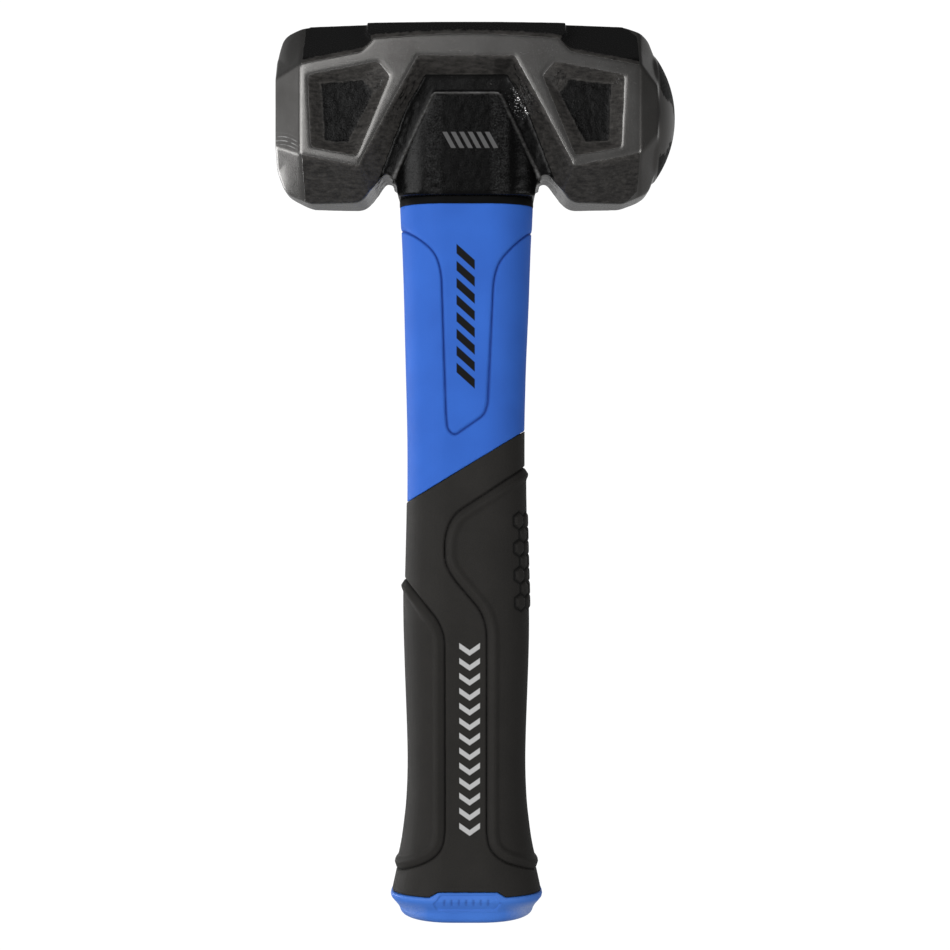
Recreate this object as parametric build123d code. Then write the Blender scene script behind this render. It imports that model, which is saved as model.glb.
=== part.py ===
"""Short-handled lump hammer: forged head bonded to a glass-fibre core with a moulded sleeve and grip.

Millimetres. The handle stands along +Z with the head on top, the head runs along X with its domed
face towards +X, and the origin is the centre of the butt's flat bottom.
"""

import os

from build123d import *

# ---- driving dimensions ----
OVERALL_LENGTH = 260.0

# head: one forging, symmetric front to back
HEAD_HEIGHT = 51.6
HEAD_DEPTH = 45.0
HEAD_HALF_LENGTH = 55.2
HEAD_BOTTOM = OVERALL_LENGTH - HEAD_HEIGHT
HEAD_MIDDLE = OVERALL_LENGTH - HEAD_HEIGHT / 2
FACE_PLANE = HEAD_DEPTH / 2
DOME_HEIGHT = 6.1
DOME_BASE_RADIUS = 18.5
POCKET_DEPTH = 3.6
RIM_ROUND = 1.0

# eye and neck
NECK_BOTTOM = 210.3
NECK_HALF_WIDTH = 19.9
BOSS_DEPTH = 35.0
MOAT_FLOOR = 13.5
EYE_BOTTOM = (27.0, 18.6)
EYE_TOP = (31.0, 22.0)
RESIN_SUNK = 1.4
CORE_SUNK = 1.0

# handle
CORE_SIZE = (24.0, 15.0)
CORE_BOTTOM = 10.0
COLLAR_HEIGHT = 2.3
COLLAR_HALF = (19.6, 15.6)
COLLAR_SPIGOT = 3.0
SLEEVE_TOP = NECK_BOTTOM - COLLAR_HEIGHT
GRIP_THICKNESS = 2.8
GRIP_BOTTOM = 8.0
GRIP_EDGE_RIGHT = 142.6
GRIP_EDGE_LEFT = 121.5
PANEL_RISE = 0.7
GROOVE_WIDTH = 0.7
GROOVE_DEPTH = 0.5
CAP_FLOOR = 4.0
TAB_THICKNESS = 1.6
CAP_PROUD = 0.2
TRACK_WIDTH = 0.6
TRACK_DEPTH = 0.4

# outline of the handle: height, half width, half depth
SLEEVE_STATIONS = (
    (208.0, 19.4, 15.2),
    (194.0, 18.8, 14.8),
    (176.0, 18.2, 14.3),
    (158.0, 17.6, 13.8),
    (140.0, 17.2, 13.5),
    (118.0, 17.2, 13.5),
)
GRIP_STATIONS = (
    (145.0, 17.3, 13.6),
    (130.0, 17.4, 13.7),
    (105.0, 17.6, 14.0),
    (85.0, 17.8, 14.2),
    (62.0, 17.2, 13.8),
    (42.0, 17.0, 13.7),
    (30.0, 17.9, 14.4),
    (18.0, 19.9, 16.1),
    (8.0, 21.7, 17.9),
)
CAP_STATIONS = (
    (0.0, 18.6, 14.8),
    (0.8, 19.4, 15.6),
    (3.0, 19.5, 15.7),
    (6.4, 22.1, 18.2),
    (8.0, 21.9, 18.1),
)


# raised side panels of the grip, in the front view
PANEL_RIGHT = (
    (17.0, 131.6), (-3.3, 118.2), (-5.9, 112.5), (-5.9, 104.5), (-3.7, 100.2), (4.6, 89.9),
    (6.0, 85.0), (6.0, 24.0), (8.2, 18.2), (13.0, 15.9), (20.4, 15.0), (26.0, 14.8), (26.0, 137.5),
)
PANEL_LEFT = (
    (-17.6, 99.2), (-8.2, 87.6), (-6.2, 83.0), (-6.2, 24.0), (-8.0, 18.2), (-12.4, 15.9),
    (-20.2, 15.0), (-26.0, 14.8), (-26.0, 109.5),
)

# shallow track round a shield-shaped panel on the front and back of the sleeve
SHIELD = (
    (-19.4, 202.5), (-12.5, 195.6), (-7.9, 190.4), (-6.6, 184.0), (-5.3, 146.5), (-5.0, 143.2),
    (-3.2, 141.4), (-0.8, 142.0), (6.1, 148.2), (7.2, 151.5), (8.0, 186.0), (10.0, 191.0),
    (13.6, 196.0), (19.6, 201.8),
)
HEX_ACROSS = 4.6
HEX_DEPTH = 0.35
HEX_ROWS = 7
HEX_TOP = 115.4
TAB_POINTS = ((-12.2, 7.2), (-7.7, 9.4), (8.7, 9.4), (12.6, 7.2))


# ---- helpers ----
def oval(half_width, half_depth, height):
    """Rounded oval section of the handle, lying at one height."""
    corner = half_depth * 0.88
    return Pos(0, 0, height) * RectangleRounded(2 * half_width, 2 * half_depth, corner)


def handle_loft(stations, grow=0.0):
    """Solid through the stations, each grown outwards by the same amount."""
    ordered = sorted(stations)
    return loft([oval(w + grow, d + grow, z) for z, w, d in ordered])


def front_prism(points, depth=30.0):
    """Polygon in the front view, extruded through the whole depth."""
    outline = Polyline(*[(x, z) for x, z in points], close=True)
    return extrude(Plane.XZ * make_face(outline), depth, both=True)


def cut_beyond(shape, through, normal, limit=None):
    """Removes what lies beyond a plane, optionally only inside a limiting solid."""
    beyond = Plane(origin=through, z_dir=normal) * Box(
        300, 300, 100, align=(Align.CENTER, Align.CENTER, Align.MIN)
    )
    return shape - (beyond & limit if limit else beyond)


def plane_normal(a, b, c, outward):
    """Normal of the plane through three points, turned to the outward side."""
    normal = (Vector(*b) - Vector(*a)).cross(Vector(*c) - Vector(*a)).normalized()
    return normal if normal.dot(Vector(*outward)) > 0 else normal * -1


# ---- head ----
def head_silhouette():
    """Front outline: chamfered ends, and a rounded notch each side of the neck."""
    right = [
        (45.8, OVERALL_LENGTH),
        (52.4, 256.7),
        (HEAD_HALF_LENGTH, 250.2),
        (HEAD_HALF_LENGTH, 218.0),
        (52.6, 212.2),
        (45.6, HEAD_BOTTOM),
        (30.3, HEAD_BOTTOM),
        (23.0, 217.6),
        (20.0, 213.8),
        (NECK_HALF_WIDTH, NECK_BOTTOM),
    ]
    left = [(-x, z) for x, z in reversed(right)]
    outline = make_face(Polyline(*right, *left, close=True))
    rounds = (3.0, 5.5, 5.5, 5.5, 5.5, 3.0, 5.0, 1.9)
    for (x, z), radius in zip(right, rounds):
        corners = [v for v in outline.vertices() if abs(abs(v.X) - x) < 0.01 and abs(v.Y - z) < 0.01]
        outline = fillet(corners, radius)
    return outline


def four_ways(cutter):
    """A cutter at the front left, with its copies at the other three corners in plan."""
    pair = cutter + mirror(cutter, Plane.XZ)
    return pair + mirror(pair, Plane.YZ)


def block_chamfers():
    """Long facets that turn each striking block into an octagon, deeper towards its end."""
    rise = 13.4
    a = (-46.0, -FACE_PLANE, HEAD_MIDDLE + rise)
    b = (-31.0, -FACE_PLANE, HEAD_MIDDLE + 16.3)
    c = (-40.0, -10.0, OVERALL_LENGTH)
    normal = plane_normal(a, b, c, (0, -1, 1))
    beyond = Plane(origin=a, z_dir=normal) * Box(
        200, 200, 60, align=(Align.CENTER, Align.CENTER, Align.MIN)
    )
    upper_zone = front_prism([
        (-80.0, HEAD_MIDDLE), (-31.4, HEAD_MIDDLE), (-31.4, 249.7), (-26.8, 254.3),
        (-28.6, 256.4), (-28.6, 290.0), (-80.0, 290.0),
    ], 40.0)
    lower_zone = Pos(-40.0, -20, HEAD_MIDDLE + 30) * Box(64.0, 60, 60)
    mid_plane = Plane(origin=(0, 0, HEAD_MIDDLE), z_dir=(0, 0, 1))
    upper = beyond & upper_zone
    lower = mirror(beyond & lower_zone, mid_plane)
    return [four_ways(upper), four_ways(lower)]


def bridge_chamfer():
    """Facet along the top of the bridge over the eye, with its lower edge slightly arched."""
    start = -24.0
    slope = 0.9
    drop = (abs(start) - FACE_PLANE) * slope
    arch = ThreePointArc((-28.8, 254.2 - drop), (0, 255.8 - drop), (28.8, 254.2 - drop))
    sides = Polyline((28.8, 254.2 - drop), (28.8, 270), (-28.8, 270), (-28.8, 254.2 - drop))
    outline = Plane.XZ.offset(-start) * make_face(arch + sides)
    cutter = extrude(outline, 16, dir=Vector(0, 1, slope).normalized())
    return cutter + mirror(cutter, Plane.XZ)


def end_chamfers(head, side, front_run, front_drop):
    """Bevels round one end face: front, back, and the four slanting facets."""
    inner = HEAD_HALF_LENGTH - front_run
    for y_side in (-1, 1):
        a = (side * inner, y_side * FACE_PLANE, HEAD_MIDDLE)
        b = (side * inner, y_side * FACE_PLANE, OVERALL_LENGTH)
        c = (side * HEAD_HALF_LENGTH, y_side * (FACE_PLANE - front_drop), HEAD_MIDDLE)
        head = cut_beyond(head, a, plane_normal(a, b, c, (side, y_side, 0)))
        for z_side in (-1, 1):
            a = (side * inner, y_side * FACE_PLANE, HEAD_MIDDLE + z_side * 13.2)
            b = (side * inner, y_side * 8.6, HEAD_MIDDLE + z_side * 25.8)
            c = (side * HEAD_HALF_LENGTH, y_side * 11.0, HEAD_MIDDLE + z_side * 13.5)
            head = cut_beyond(head, a, plane_normal(a, b, c, (side, y_side, z_side)))
    return head


def recess_cutter():
    """Front recess round the neck boss: an inverted U with sloping walls."""

    def half(points):
        return points + [(-x, z) for x, z in reversed(points)]

    outer = half([(-34.6, 200.0), (-33.4, 219.3), (-22.6, 236.2), (-14.4, 251.3)])
    inner = half([(-31.0, 200.0), (-24.3, 217.2), (-17.2, 236.2), (-11.8, 245.3)])
    near = Plane.XZ.offset(27.0) * make_face(Polyline(*outer, close=True))
    floor = Plane.XZ.offset(MOAT_FLOOR) * make_face(Polyline(*inner, close=True))
    return loft([near, floor], ruled=True)


def pocket_cutter(side):
    """Tapered pocket in the front of one striking block, with one corner cut off."""
    outer = [(45.3, 243.7), (24.9, 247.9), (21.8, 244.3), (31.1, 220.9), (44.3, 223.5)]
    inner = [(41.6, 242.2), (30.2, 243.1), (26.8, 238.6), (34.2, 225.2), (40.7, 225.2)]
    over = 1.0
    lip = [
        (xo + (xo - xi) * over / POCKET_DEPTH, zo + (zo - zi) * over / POCKET_DEPTH)
        for (xo, zo), (xi, zi) in zip(outer, inner)
    ]
    near = Plane.XZ.offset(FACE_PLANE + over) * make_face(
        Polyline(*[(side * x, z) for x, z in lip], close=True)
    )
    floor = Plane.XZ.offset(FACE_PLANE - POCKET_DEPTH) * make_face(
        Polyline(*[(side * x, z) for x, z in inner], close=True)
    )
    return loft([near, floor], ruled=True)


def eye_solid(bottom, top):
    """The tapered eye, wider at the top so that the set resin locks the head on."""
    faces = []
    for z in (bottom, top):
        t = (z - NECK_BOTTOM) / (OVERALL_LENGTH - NECK_BOTTOM)
        width = EYE_BOTTOM[0] + t * (EYE_TOP[0] - EYE_BOTTOM[0])
        depth = EYE_BOTTOM[1] + t * (EYE_TOP[1] - EYE_BOTTOM[1])
        faces.append(Pos(0, 0, z) * RectangleRounded(width, depth, depth * 0.49))
    return loft(faces, ruled=True)


def neck_boss():
    """Boss round the eye, standing in the recess and running down to the collar."""
    height = 240.0 - NECK_BOTTOM
    post = Pos(0, 0, NECK_BOTTOM) * extrude(RectangleRounded(45.0, BOSS_DEPTH, 10.5), height)
    half = [(-NECK_HALF_WIDTH, NECK_BOTTOM), (-20.2, 213.6), (-21.6, 214.2), (-9.3, 240.0)]
    flanks = front_prism(half + [(-x, z) for x, z in reversed(half)])
    return post & flanks


def striking_dome():
    """Crowned round face on the +X end, seated a little into the block."""
    seat = HEAD_HALF_LENGTH - 1.0
    rim = (HEAD_HALF_LENGTH, DOME_BASE_RADIUS)
    tip = (HEAD_HALF_LENGTH + DOME_HEIGHT, 0.0)
    radius = (DOME_BASE_RADIUS**2 + DOME_HEIGHT**2) / (2 * DOME_HEIGHT)
    crown = RadiusArc(rim, tip, radius)
    base = Polyline(tip, (seat, 0), (seat, DOME_BASE_RADIUS), rim)
    half = Plane.XZ * make_face(crown + base)
    return Pos(0, 0, HEAD_MIDDLE) * revolve(half, Axis.X)


def lies_at_depth(edge, depth):
    """Whether an edge lies wholly in the plane at one depth, front or back."""
    points = [*edge.vertices(), edge.center()]
    return all(abs(abs(point.Y) - depth) < 0.02 for point in points)


def round_rims(head):
    """Rounds the mouths of the recess and pockets, and the bottom edges of the pockets."""
    rims = []
    for edge in head.edges():
        middle = edge.center()
        in_mouth = 16 < abs(middle.X) < 45.5 and 220 < middle.Z < 248.95
        in_mouth = in_mouth or (abs(middle.X) < 16 and 248 < middle.Z < 250.5)
        if in_mouth and lies_at_depth(edge, FACE_PLANE):
            rims.append(edge)
    head = head.fillet(RIM_ROUND, rims)
    floors = [edge for edge in head.edges() if lies_at_depth(edge, FACE_PLANE - POCKET_DEPTH)]
    return head.fillet(RIM_ROUND, floors)


def make_head():
    head = extrude(Plane.XZ * head_silhouette(), FACE_PLANE, both=True)
    for cutter in block_chamfers():
        head -= cutter
    head -= bridge_chamfer()
    head = end_chamfers(head, -1, 7.8, 7.5)
    head = end_chamfers(head, 1, 5.5, 4.0)
    recess = recess_cutter()
    head -= recess + mirror(recess, Plane.XZ)
    for side in (-1, 1):
        pocket = pocket_cutter(side)
        head -= pocket + mirror(pocket, Plane.XZ)
    head += neck_boss()
    head += striking_dome()
    return round_rims(head - eye_solid(NECK_BOTTOM, OVERALL_LENGTH))


# ---- handle ----
def core_bar(bottom, top):
    """The glass-fibre bar between two heights, which is also the hole that it fills."""
    width, depth = CORE_SIZE
    return Pos(0, 0, bottom) * extrude(RectangleRounded(width, depth, depth * 0.46), top - bottom)


def below_boundary():
    """Everything under the slanting line where the grip meets the bare sleeve."""
    half = GRIP_STATIONS[0][1]
    slope = (GRIP_EDGE_RIGHT - GRIP_EDGE_LEFT) / (2 * half)
    middle = (GRIP_EDGE_RIGHT + GRIP_EDGE_LEFT) / 2
    reach = 40.0
    return front_prism([
        (-reach, middle - slope * reach), (reach, middle + slope * reach), (reach, -20.0), (-reach, -20.0),
    ])


def outline_band(points, width):
    """Front-view ribbon of a given width that runs inside a closed outline."""
    outer = make_face(Polyline(*points, close=True))
    return extrude(Plane.XZ * (outer - offset(outer, -width, kind=Kind.INTERSECTION)), 30.0, both=True)


def tail_solid():
    """Slimmer lower part of the sleeve, which the grip wraps and the cap takes at its end."""
    low = below_boundary()
    tail = handle_loft(GRIP_STATIONS, -GRIP_THICKNESS) & low
    end = GRIP_STATIONS[-1]
    foot = extrude(
        oval(end[1] - GRIP_THICKNESS, end[2] - GRIP_THICKNESS, CAP_FLOOR), GRIP_BOTTOM - CAP_FLOOR
    )
    return tail + foot


def make_sleeve():
    """Moulded jacket over the core, with the shallow track of the shield-shaped panel."""
    upper = handle_loft(SLEEVE_STATIONS) - below_boundary()
    shield = [(-30.0, 215.0), (-30.0, 203.0), *SHIELD, (30.0, 202.0), (30.0, 215.0)]
    track = outline_band(shield, TRACK_WIDTH)
    upper -= track - handle_loft(SLEEVE_STATIONS, -TRACK_DEPTH)
    return upper + tail_solid() - core_bar(CORE_BOTTOM, SLEEVE_TOP)


def hex_cells():
    """Honeycomb of raised cells on the +X side of the grip, as prisms along X."""
    across = HEX_ACROSS
    side = across / 3**0.5
    cell = Plane.YZ.offset(8.0) * RegularPolygon(side * 0.93, 6, rotation=90)
    cells = []
    for row in range(HEX_ROWS):
        count = 5 if row % 2 == 0 else 4
        height = HEX_TOP - row * 1.5 * side
        for column in range(count):
            shift = (column - (count - 1) / 2) * across
            cells.append(Pos(0, shift, height) * extrude(cell, 20))
    return cells


def tab_solid():
    """Tongues on the front and back of the cap's top edge, let into the grip."""
    wall = handle_loft(GRIP_STATIONS, CAP_PROUD) - handle_loft(GRIP_STATIONS, -TAB_THICKNESS)
    return wall & front_prism(TAB_POINTS)


def make_grip():
    """Soft sleeve over the tail with two raised side panels and a honeycomb."""
    base = handle_loft(GRIP_STATIONS)
    sunk = handle_loft(GRIP_STATIONS, -GROOVE_DEPTH)
    raised = handle_loft(GRIP_STATIONS, PANEL_RISE)
    body = base
    for points in (PANEL_RIGHT, PANEL_LEFT):
        outline = make_face(Polyline(*points, close=True))
        border = extrude(Plane.XZ * offset(outline, GROOVE_WIDTH), 30.0, both=True)
        body -= border - sunk
        body += front_prism(points) & raised
    side = HEX_ACROSS / 3**0.5
    zone_height = (HEX_ROWS - 1) * 1.5 * side + 2 * side
    zone = Pos(20, 0, HEX_TOP + side - zone_height / 2) * Box(20, 5 * HEX_ACROSS, zone_height)
    lowered = handle_loft(GRIP_STATIONS, PANEL_RISE - HEX_DEPTH)
    body -= zone - lowered
    for cell in hex_cells():
        body += cell & raised
    body = body & below_boundary()
    body -= Pos(0, 0, GRIP_BOTTOM) * Box(80, 80, 40, align=(Align.CENTER, Align.CENTER, Align.MAX))
    return body - tail_solid() - tab_solid()


def make_cap():
    """Hard end cap: a foot, a flange under the grip, and the socket for the sleeve's tail."""
    cap = handle_loft(CAP_STATIONS) + tab_solid()
    return cap - tail_solid()


def make_collar():
    """Ring between the neck of the head and the sleeve, with a spigot that seals the eye."""
    ring = extrude(oval(COLLAR_HALF[0], COLLAR_HALF[1], SLEEVE_TOP), COLLAR_HEIGHT)
    spigot = eye_solid(NECK_BOTTOM, NECK_BOTTOM + COLLAR_SPIGOT)
    return ring + spigot - core_bar(SLEEVE_TOP, NECK_BOTTOM + COLLAR_SPIGOT)


def make_resin():
    """Resin cast in the eye round the core, a little below the top of the head."""
    bottom = NECK_BOTTOM + COLLAR_SPIGOT
    top = OVERALL_LENGTH - RESIN_SUNK
    return eye_solid(bottom, top) - core_bar(bottom, top)


def main():
    os.makedirs("parts", exist_ok=True)
    nodes = {
        "head": make_head(),
        "eye_resin": make_resin(),
        "shaft_core": core_bar(CORE_BOTTOM, OVERALL_LENGTH - CORE_SUNK),
        "neck_collar": make_collar(),
        "sleeve": make_sleeve(),
        "grip": make_grip(),
        "butt_cap": make_cap(),
    }
    for name, solid in nodes.items():
        export_step(solid, f"parts/{name}.step")
        print(name, round(solid.volume), "mm3", len(solid.solids()), "solid", solid.is_valid)


if __name__ == "__main__":
    main()
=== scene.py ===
import math

import bmesh
import bpy
import numpy as np
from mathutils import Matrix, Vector


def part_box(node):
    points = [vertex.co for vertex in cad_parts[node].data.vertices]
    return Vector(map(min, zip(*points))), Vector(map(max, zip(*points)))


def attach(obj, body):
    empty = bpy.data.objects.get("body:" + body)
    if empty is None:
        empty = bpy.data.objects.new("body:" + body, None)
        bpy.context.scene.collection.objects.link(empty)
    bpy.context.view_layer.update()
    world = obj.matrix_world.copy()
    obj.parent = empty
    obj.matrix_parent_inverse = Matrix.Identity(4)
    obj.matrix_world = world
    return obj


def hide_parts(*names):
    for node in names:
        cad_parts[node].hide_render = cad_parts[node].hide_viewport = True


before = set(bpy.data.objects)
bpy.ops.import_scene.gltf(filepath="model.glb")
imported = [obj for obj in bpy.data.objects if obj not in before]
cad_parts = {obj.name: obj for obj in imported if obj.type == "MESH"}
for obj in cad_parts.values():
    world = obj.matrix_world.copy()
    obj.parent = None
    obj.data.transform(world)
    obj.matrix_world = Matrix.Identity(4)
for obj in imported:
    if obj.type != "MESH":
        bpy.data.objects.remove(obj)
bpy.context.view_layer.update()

mm = 0.001


def deselectAll():
    if bpy.context.mode != "OBJECT":
        bpy.ops.object.mode_set(mode="OBJECT")
    bpy.ops.object.select_all(action="DESELECT")


def makeActive(piece):
    deselectAll()
    piece.select_set(True)
    bpy.context.view_layer.objects.active = piece


def applyModifier(piece, kind, **settings):
    makeActive(piece)
    modifier = piece.modifiers.new(kind.title(), kind)
    for name, value in settings.items():
        setattr(modifier, name, value)
    bpy.ops.object.modifier_apply(modifier=modifier.name)


def readPoints(piece):
    points = np.empty(len(piece.data.vertices) * 3)
    piece.data.vertices.foreach_get("co", points)
    return points.reshape(-1, 3) / mm


def readNormals(piece):
    normals = np.empty(len(piece.data.vertices) * 3)
    piece.data.vertices.foreach_get("normal", normals)
    return normals.reshape(-1, 3)


def writePoints(piece, points):
    piece.data.vertices.foreach_set("co", (points * mm).ravel())
    piece.data.update()


def writeAttribute(piece, name, values):
    attribute = piece.data.attributes.new(name, "FLOAT", "POINT")
    attribute.data.foreach_set("value", np.asarray(values, dtype=float))


def ramp(value, low, high):
    share = np.clip((value - low) / (high - low), 0, 1)
    return share * share * (3 - 2 * share)


def between(value, low, high):
    return (value > low) & (value < high)


def hump(value, halfWidth):
    # 1 at zero, falling away on both sides
    return np.exp(-((value / halfWidth) ** 2))


def copyOfNode(nodeName, pieceName):
    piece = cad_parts[nodeName].copy()
    piece.data = piece.data.copy()
    piece.data.materials.clear()
    piece.name = pieceName
    piece.data.name = pieceName
    for key in list(piece.keys()):
        del piece[key]
    piece.parent = None
    bpy.context.scene.collection.objects.link(piece)
    makeActive(piece)
    bpy.ops.object.mode_set(mode="EDIT")
    bpy.ops.mesh.select_all(action="SELECT")
    bpy.ops.mesh.remove_doubles(threshold=0.000001)
    bpy.ops.object.mode_set(mode="OBJECT")
    return piece


def finishPiece(piece, nodeName, material, smoothAngle):
    makeActive(piece)
    bpy.ops.object.shade_smooth_by_angle(angle=math.radians(smoothAngle))
    piece.data.materials.clear()
    piece.data.materials.append(material)
    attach(piece, "root")
    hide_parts(nodeName)


def ovalSolid(name, stations, cornerShare=0.88):
    # a flat rounded plate, drawn up through the stations one extrude at a time
    z, halfWidth, halfDepth = stations[0]
    deselectAll()
    bpy.ops.mesh.primitive_plane_add(size=1, location=(0, 0, z * mm))
    piece = bpy.context.object
    piece.name = name
    piece.data.name = name
    bpy.ops.object.mode_set(mode="EDIT")
    bpy.ops.transform.resize(value=(2 * halfWidth * mm, 2 * halfDepth * mm, 1))
    corner = halfDepth * cornerShare * mm
    bpy.ops.mesh.bevel(affect="VERTICES", offset=corner, offset_type="OFFSET", segments=14, profile=0.5)
    bpy.ops.mesh.select_all(action="SELECT")
    for nextZ, nextWidth, nextDepth in stations[1:]:
        growth = (nextWidth / halfWidth, nextDepth / halfDepth, 1)
        bpy.ops.mesh.extrude_region_move(TRANSFORM_OT_translate={"value": (0, 0, (nextZ - z) * mm)})
        bpy.ops.transform.resize(value=growth, center_override=(0, 0, nextZ * mm))
        z, halfWidth, halfDepth = nextZ, nextWidth, nextDepth
    # the open bottom is closed, and the faces turned outwards
    bpy.ops.mesh.select_all(action="DESELECT")
    bpy.ops.mesh.select_non_manifold(
        extend=False, use_wire=False, use_multi_face=False, use_non_contiguous=False, use_verts=False,
    )
    bpy.ops.mesh.edge_face_add()
    bpy.ops.mesh.select_all(action="SELECT")
    bpy.ops.mesh.normals_make_consistent(inside=False)
    bpy.ops.object.mode_set(mode="OBJECT")
    bpy.ops.object.transform_apply(location=True, rotation=True, scale=True)
    return piece


def smoothStations(stations, step):
    # more sections between the given ones, on a smooth line through them
    heights = np.array([s[0] for s in stations], dtype=float)
    count = max(2, int(round((heights[-1] - heights[0]) / step)))
    fine = np.linspace(heights[0], heights[-1], count + 1)
    columns = [fine]
    for column in (1, 2):
        values = np.array([s[column] for s in stations], dtype=float)
        slopes = np.gradient(values, heights)
        place = np.clip(np.searchsorted(heights, fine, side="right") - 1, 0, len(heights) - 2)
        span = heights[place + 1] - heights[place]
        t = (fine - heights[place]) / span
        low, high = values[place], values[place + 1]
        a = slopes[place] * span - (high - low)
        b = -slopes[place + 1] * span + (high - low)
        columns.append((1 - t) * low + t * high + t * (1 - t) * ((1 - t) * a + t * b))
    return [tuple(row) for row in np.array(columns).T]


def grown(stations, amount):
    return [(z, w + amount, d + amount) for z, w, d in stations]


def combine(piece, tool, operation="DIFFERENCE"):
    # the tool is cut away, or joined, and then removed
    applyModifier(piece, "BOOLEAN", object=tool, operation=operation, solver="EXACT")
    bpy.data.objects.remove(tool, do_unlink=True)


def bisectPiece(piece, point, normal, clearOuter=True):
    makeActive(piece)
    bpy.ops.object.mode_set(mode="EDIT")
    bpy.ops.mesh.select_all(action="SELECT")
    bpy.ops.mesh.bisect(
        plane_co=[c * mm for c in point], plane_no=normal, use_fill=True,
        clear_outer=clearOuter, clear_inner=not clearOuter,
    )
    bpy.ops.object.mode_set(mode="OBJECT")


def denseMesh(piece, voxel, smoothing):
    applyModifier(piece, "REMESH", mode="VOXEL", voxel_size=voxel * mm, use_smooth_shade=True)
    applyModifier(piece, "SMOOTH", factor=0.5, iterations=smoothing)


def thinOut(piece, mostTriangles):
    piece.data.calc_loop_triangles()
    count = len(piece.data.loop_triangles)
    if count > mostTriangles:
        applyModifier(piece, "DECIMATE", ratio=mostTriangles / count)
    piece.data.calc_loop_triangles()
    print(piece.name, "triangles", len(piece.data.loop_triangles))


def signedDistance(points, normals, outline):
    # distance over the surface to a closed outline drawn in the front view, positive inside
    xz = points[:, (0, 2)]
    best = np.full(len(xz), 1e9)
    away = np.zeros((len(xz), 2))
    inside = np.zeros(len(xz), dtype=bool)
    for (x0, z0), (x1, z1) in zip(outline, outline[1:] + outline[:1]):
        start = np.array((x0, z0))
        run = np.array((x1 - x0, z1 - z0))
        t = np.clip((xz - start) @ run / (run @ run), 0, 1)
        off = xz - (start + t[:, None] * run)
        far = np.hypot(off[:, 0], off[:, 1])
        nearer = far < best
        best = np.where(nearer, far, best)
        away[nearer] = off[nearer]
        if z0 != z1:
            crosses = (z0 > xz[:, 1]) != (z1 > xz[:, 1])
            crossing = x0 + (xz[:, 1] - z0) * (x1 - x0) / (z1 - z0)
            inside ^= crosses & (xz[:, 0] < crossing)
    # a surface that leans away from the front view is longer than it looks
    direction = away / np.maximum(best, 1e-6)[:, None]
    lean = direction[:, 0] * normals[:, 0] + direction[:, 1] * normals[:, 2]
    stretch = np.sqrt(np.maximum(1 - lean * lean, 0.05))
    return np.where(inside, best, -best) / stretch


def roundCorners(outline, radius, steps=6):
    # a closed outline with each corner turned into a short curve
    # a point's third number is that corner's own reach
    corners = [np.array(p[:2], dtype=float) for p in outline]
    reaches = [p[2] if len(p) > 2 else radius for p in outline]
    rounded = []
    for place, corner in enumerate(corners):
        toBefore = corners[place - 1] - corner
        toAfter = corners[(place + 1) % len(corners)] - corner
        before = np.linalg.norm(toBefore)
        after = np.linalg.norm(toAfter)
        reach = min(reaches[place], before * 0.48, after * 0.48)
        a = corner + toBefore / before * reach
        b = corner + toAfter / after * reach
        for t in np.linspace(0, 1, steps):
            rounded.append(tuple((1 - t) ** 2 * a + 2 * t * (1 - t) * corner + t * t * b))
    return rounded


class Wire:
    # one output of a node, which can be added, multiplied and so on like a number
    def __init__(self, tree, socket):
        self.tree = tree
        self.socket = socket

    def math(self, operation, *others, clamp=False):
        node = self.tree.nodes.new("ShaderNodeMath")
        node.operation = operation
        node.use_clamp = clamp
        for place, value in enumerate((self, *others)):
            plug(self.tree, node.inputs[place], value)
        return Wire(self.tree, node.outputs[0])

    def __add__(self, other):
        return self.math("ADD", other)

    def __sub__(self, other):
        return self.math("SUBTRACT", other)

    def __mul__(self, other):
        return self.math("MULTIPLY", other)

    def __truediv__(self, other):
        return self.math("DIVIDE", other)

    def __rsub__(self, other):
        return (self * -1) + other

    __radd__ = __add__
    __rmul__ = __mul__

    def within(self, low, high):
        # 0 at low and 1 at high, held outside them
        return ((self - low) / (high - low)).math("ADD", 0, clamp=True)

    def between(self, low, high, edge):
        # 1 from low to high, with soft edges
        return (self - low).within(0, edge) * (high - self).within(0, edge)


def plug(tree, socket, value):
    if isinstance(value, Wire):
        tree.links.new(value.socket, socket)
    else:
        socket.default_value = value


class Nodes:
    # the node tree of a material or world, emptied first
    def __init__(self, owner):
        owner.use_nodes = True
        self.tree = owner.node_tree
        self.tree.nodes.clear()

    def node(self, kind, settings=None, inputs=None, output=0):
        made = self.tree.nodes.new(kind)
        for name, value in (settings or {}).items():
            if name == "stops":
                for stop, (position, shade) in zip(made.color_ramp.elements, value):
                    stop.position = position
                    stop.color = shade
            else:
                setattr(made, name, value)
        for name, value in (inputs or {}).items():
            plug(self.tree, made.inputs[name], value)
        return Wire(self.tree, made.outputs[output])

    def split(self, vector):
        parts = self.tree.nodes.new("ShaderNodeSeparateXYZ")
        plug(self.tree, parts.inputs[0], vector)
        return [Wire(self.tree, socket) for socket in parts.outputs]

    def endWith(self, kind, shader):
        output = self.tree.nodes.new(kind)
        plug(self.tree, output.inputs["Surface"], shader)


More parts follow.
